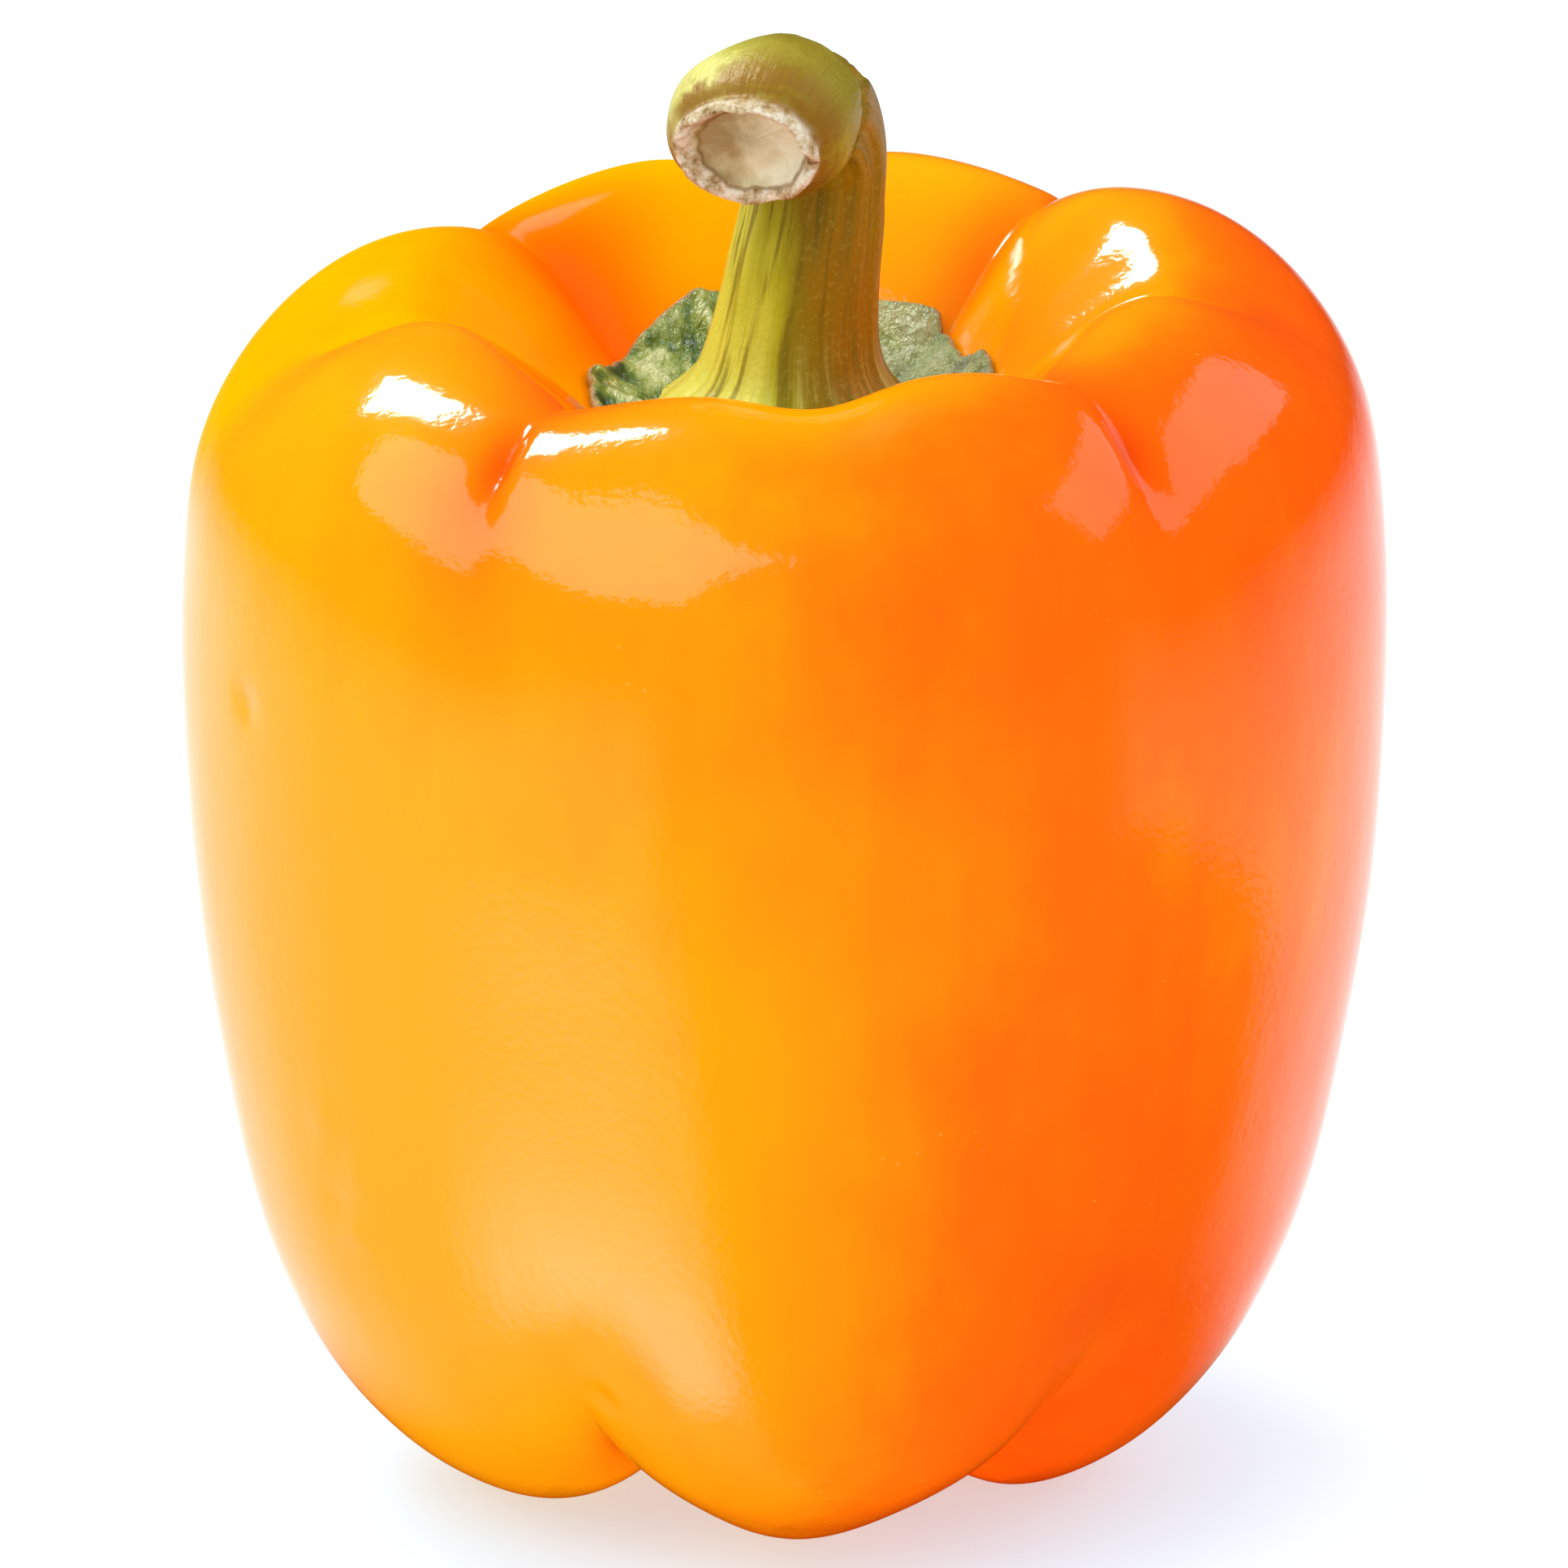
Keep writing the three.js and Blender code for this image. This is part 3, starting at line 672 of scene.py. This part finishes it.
def stem_material():
    n = Material("stem_green")
    grain = n.attribute("grain", "Vector")
    x = n.axis(0)
    share, rim, pith, crack = (n.attribute(name) for name in ("share", "rim", "pith", "crack"))
    # The neck: yellow-green on the left, brown-orange on the right, with fine streaks along it. The change
    # across it is partly its own colour and partly painted light: lit on the left, and a painted orange glow
    # on the right for the light of the fruit beside it.
    blotch = n.noise(n.place((1, 1, 0.3), grain), 300, 3)
    colour = n.ramp(n.plus(n.range(x, -0.005, 0.007), n.swing(blotch, 0.8)), *NECK_COLOURS_WITH_PAINTED_LIGHT)
    streak = n.noise(n.place((1, 1, 0.05), grain), 1500, 4, 0.6)
    colour = n.mix(n.range(streak, 0.48, 0.62, 0, 0.7), colour, STREAK_COLOUR)
    colour = n.mix(n.times(crack, 0.45, True), colour, CRACK_COLOUR)
    fleck = n.noise(n.place(of=grain), 2600, 3, 0.6)
    colour = n.mix(n.range(fleck, 0.54, 0.7, 0, 0.22), colour, FLECK_COLOUR)
    foot = n.times(n.range(share, 0.22, 0.04), n.range(streak, 0.5, 0.36))
    colour = n.mix(n.times(foot, 0.4), colour, FOOT_COLOUR)
    # The head is a paler olive, with painted shade darker to the right, bruised brown round the cut.
    mottle = n.noise(n.place(of=grain), 260, 4)
    head_colour = n.ramp(n.plus(n.range(x, -0.008, 0.003), n.swing(mottle, 1.3)), *HEAD_COLOURS_WITH_PAINTED_SHADE)
    colour = n.mix(n.range(share, 0.68, 0.74), colour, head_colour)
    bruise = n.times(n.range(share, 0.84, 0.95), n.range(mottle, 0.4, 0.52, 0.15, 0.95))
    near_rim = n.times(n.range(share, 0.915, 0.965), n.range(mottle, 0.34, 0.46, 0.5, 0.95))
    colour = n.mix(n.math("MAXIMUM", bruise, near_rim), colour, BRUISE_COLOUR)
    # The cut: a corky, fibrous rim round stained pith, with painted shade darker on the pith's left under the
    # rim, and a brown line between them.
    fibre = n.noise(n.place(), 800, 5, 0.7)
    colour = n.mix(rim, colour, n.ramp(fibre, *CORK_COLOURS))
    # Painted shade: the pith darker on the left, under the rim; the noise is its stains.
    stain_and_shade = n.plus(n.range(x, -0.006, 0.001), n.swing(n.noise(n.place(), 700, 4), 1.1))
    colour = n.mix(pith, colour, n.ramp(stain_and_shade, *PITH_AND_SHADE_COLOURS))
    brim = n.times(n.times(pith, n.minus(1.0, pith)), 2.6, True)
    colour = n.mix(brim, colour, BRIM_COLOUR)
    height = n.plus(streak, n.times(n.noise(n.place(of=grain), 2200, 3), 0.6))
    height = n.times(height, n.minus(1.0, n.times(rim, 0.85)))
    normal = n.bump(n.times(fibre, rim), 0.9, 0.0006, n.bump(height, 0.6, 0.0003))
    gloss = n.plus(0.4, n.times(n.plus(rim, pith, True), 0.45))
    return n.finish(
        Base_Color=colour, Roughness=gloss, Normal=normal, Specular_IOR_Level=0.28, Specular_Tint=STEM_SHEEN,
    )


CALYX_COLOURS = (
    (0.3, (0.02, 0.065, 0.003)), (0.5, (0.1, 0.18, 0.015)), (0.75, (0.26, 0.33, 0.05)),
    (1.0, (0.5, 0.55, 0.22)),
)
SHEEN_GREY_GREEN, DRY_EDGE = (0.36, 0.4, 0.2), (0.34, 0.23, 0.08)


def calyx_material():
    n = Material("calyx_green")
    here = n.attribute("flat", "Vector")
    # Dark green in the dents and paler on the bumps, partly its own mottle and partly painted shade; greyer
    # on the right, a painted sheen for the light it reflects there; with a thin dry edge.
    height = n.plus(n.times(n.attribute("lift"), 0.9), n.times(n.noise(here, 900, 4), 1.2))
    colour = n.ramp(height, *CALYX_COLOURS)
    grey_sheen = n.times(n.range(n.axis(0), 0.0, 0.008), n.range(n.noise(here, 420, 2), 0.3, 0.6, 0.1, 0.6))
    colour = n.mix(grey_sheen, colour, SHEEN_GREY_GREEN)
    colour = n.mix(n.range(n.attribute("out"), 0.955, 0.985), colour, DRY_EDGE)
    normal = n.bump(n.plus(n.noise(here, 1300, 4, 0.6), n.noise(here, 520, 2)), 1.0, 0.0009)
    gloss = n.range(n.noise(here, 700, 2), 0.35, 0.65, 0.14, 0.34)
    return n.finish(Base_Color=colour, Roughness=gloss, Normal=normal, Specular_IOR_Level=0.9)


# The pieces.


def dress(piece, node, material):
    piece.data.materials.append(material)
    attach(piece, "root")
    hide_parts(node)


dress(make_fruit(), "fruit", skin_material())
dress(make_stem(), "stem", stem_material())
dress(make_calyx(), "calyx", calyx_material())

# The stage: floor, light and camera. Lengths are in metres, angles in degrees, and azimuths count from the
# front rightwards.

FLOOR_HALF = 1.5
FLOOR_COLOUR, SHADED_FLOOR_COLOUR, SHADED_RADII = (0.4, 0.52, 0.57), (0.3, 0.45, 0.59), (0.046, 0.03)
FLOOR_GLOW, UNDER_GLOW, UNDER_RADII = 0.5, 0.7, (0.06, 0.03)
CONTACT_COLOUR, CONTACT_RADIUS, CONTACT_HEIGHT = (0.34, 0.12, 0.01), 0.054, 0.0001
CONTACT_RADII = (0.05, 0.03)  # between which it fades in


def floor():
    mesh = bpy.data.meshes.new("floor")
    corners = [(x * FLOOR_HALF, y * FLOOR_HALF, 0) for x, y in ((-1, -1), (1, -1), (1, 1), (-1, 1))]
    mesh.from_pydata(corners, [], [(0, 1, 2, 3)])
    item = bpy.data.objects.new("floor", mesh)
    bpy.context.scene.collection.objects.link(item)
    item.visible_glossy = False
    n = Material("floor_white")
    # A little glow keeps the shadow soft and grey, as on a lit-through table, and more of it close under the
    # pepper lights its underside. From below the floor is clear.
    below = n.tree.nodes.new("ShaderNodeNewGeometry").outputs["Backfacing"]
    away = n.from_upright_axis()
    under = n.times(n.ray("Is Diffuse Ray"), n.range(away, *UNDER_RADII, 0.0, UNDER_GLOW))
    # Painted shadow: the floor's colour is darker and bluer in a ring close round the pepper.
    item.data.materials.append(n.finish(
        Base_Color=n.mix(n.range(away, *SHADED_RADII), FLOOR_COLOUR, SHADED_FLOOR_COLOUR),
        Roughness=0.8, Specular_IOR_Level=0.0, Alpha=n.minus(1.0, below),
        Emission_Color=(1, 1, 1), Emission_Strength=n.plus(FLOOR_GLOW, under),
    ))


def contact():
    """A dark disc that only gloss sees, for the shaded floor close under the pepper."""
    bpy.ops.mesh.primitive_circle_add(
        vertices=64, radius=CONTACT_RADIUS, fill_type="NGON", location=(0, 0, CONTACT_HEIGHT))
    item = bpy.context.object
    item.name = "contact"
    item.visible_camera = item.visible_diffuse = item.visible_shadow = False
    n = Material("contact_dark")
    item.data.materials.append(n.finish(
        Base_Color=CONTACT_COLOUR, Roughness=1.0, Specular_IOR_Level=0.0,
        Alpha=n.range(n.from_upright_axis(), *CONTACT_RADII),
    ))


# Name, azimuth, elevation, width, height, radiance and the rays that see it.
SOFTBOXES = [
    ("key", -137, 54, 15, 20, 26, "glossy"),
    ("glow", -137, 54, 30, 30, 5.5, "diffuse"),
    ("left", -56, 49, 56, 34, 2, "both"),
    ("right", 100, 40, 54, 26, 1.15, "both"),
]
LIGHT_CENTRE, LIGHT_DISTANCE = (0, 0, 0.06), 0.9


def direction(azimuth, elevation):
    a, e = math.radians(azimuth), math.radians(elevation)
    return Vector((math.sin(a) * math.cos(e), -math.cos(a) * math.cos(e), math.sin(e)))


def aim(item, centre, away, distance):
    """Stands a light or a camera at a distance from the centre and turns it to face the centre."""
    item.location = Vector(centre) + away * distance
    item.rotation_mode = "QUATERNION"
    item.rotation_quaternion = away.to_track_quat("Z", "Y")
    bpy.context.scene.collection.objects.link(item)


def softbox(name, azimuth, elevation, width, height, radiance, rays):
    """A rectangular light, placed and sized in degrees as the pepper sees it."""
    light = bpy.data.lights.new(name, "AREA")
    light.shape = "RECTANGLE"
    light.size, light.size_y = (
        2 * LIGHT_DISTANCE * math.tan(math.radians(angle / 2)) for angle in (width, height))
    light.energy = radiance * math.pi * light.size * light.size_y
    item = bpy.data.objects.new(name, light)
    item.visible_diffuse = rays != "glossy"
    item.visible_glossy = rays != "diffuse"
    item.visible_camera = False
    aim(item, LIGHT_CENTRE, direction(azimuth, elevation), LIGHT_DISTANCE)


AMBIENT, DARK = 1.15, 0.02
# The tent that gloss sees: its upper edge and the softness of its edges, and its radiance from the sides of
# the front to those of the back.
TENT_TOP, TENT_TOP_FADE, TENT_EDGE_FADE = -6, 6, (4, 5)
TENT_FRONT, TENT_BACK, TENT_TURN = 0.45, 1.15, (95, 130)
# Azimuths of the opening's left edge, upper right edge and lower right edge, and the elevations between which
# the right edge steps out. Right of it the tent fades out downwards.
OPENING, OPENING_STEP, RIGHT_FADE = (-27, 70, 111), (-24, -20), (-42, -26)
# A brighter patch low on the left: its azimuth, its radiance, and how it fades sideways, up and down.
SPOT_AZIMUTH, SPOT_RADIANCE = -50, 2.7
SPOT_SIDES, SPOT_ABOVE, SPOT_BELOW = (26, 8), (-24, -42), (-60, -52)


def surroundings():
    """White all round for diffuse light; gloss sees a white tent up to its edge, open and dark in front."""
    world = bpy.data.worlds.new("studio")
    bpy.context.scene.world = world
    world.use_nodes = True
    world.cycles.sampling_method = "NONE"
    n = Nodes(world.node_tree)

    def fade(value, low, high):
        return n.range(value, low, high, smooth=False)

    x, y, z = n.add("ShaderNodeSeparateXYZ", Vector=n.coordinates("Generated")).outputs
    azimuth = n.times(n.math("ARCTAN2", x, n.times(y, -1.0)), 180 / math.pi)
    elevation = n.times(n.math("ARCSINE", z), 180 / math.pi)
    below = fade(elevation, TENT_TOP + TENT_TOP_FADE, TENT_TOP - TENT_TOP_FADE)
    left_edge, upper_right_edge, lower_right_edge = OPENING
    left_fade, right_fade = TENT_EDGE_FADE
    step = n.times(fade(elevation, *OPENING_STEP), lower_right_edge - upper_right_edge)
    right = fade(n.minus(azimuth, n.minus(lower_right_edge, step)), -right_fade, right_fade)
    right = n.times(right, fade(elevation, *RIGHT_FADE))
    outside = n.plus(right, fade(azimuth, left_edge + left_fade, left_edge - left_fade))
    turned = fade(n.math("ABSOLUTE", azimuth), *TENT_TURN)
    level = n.plus(TENT_FRONT, n.times(turned, TENT_BACK - TENT_FRONT))
    off_spot = n.math("ABSOLUTE", n.minus(azimuth, SPOT_AZIMUTH))
    spot = n.times(fade(off_spot, *SPOT_SIDES), fade(elevation, *SPOT_ABOVE))
    spot = n.times(n.times(spot, fade(elevation, *SPOT_BELOW)), SPOT_RADIANCE)
    tent = n.times(n.plus(level, spot), n.times(outside, below))
    glossy = n.ray("Is Glossy Ray")
    seen = n.plus(n.times(glossy, n.plus(tent, DARK)), n.times(n.minus(1.0, glossy), AMBIENT))
    n.set_inputs(n.tree.nodes["Background"], {"Strength": seen, "Color": (1, 1, 1)})


CAMERA_CENTRE, CAMERA_DISTANCE, CAMERA_ELEVATION = (0, 0, 0.0498), 0.75, 16
LENS, SENSOR, CLIP_START = 243, 36, 0.01


def camera():
    data = bpy.data.cameras.new("camera")
    data.lens, data.sensor_width, data.clip_start = LENS, SENSOR, CLIP_START
    item = bpy.data.objects.new("camera", data)
    aim(item, CAMERA_CENTRE, direction(0, CAMERA_ELEVATION), CAMERA_DISTANCE)
    bpy.context.scene.camera = item


floor()
contact()
surroundings()
for box in SOFTBOXES:
    softbox(*box)
camera()
bpy.context.scene.view_settings.view_transform = "Standard"
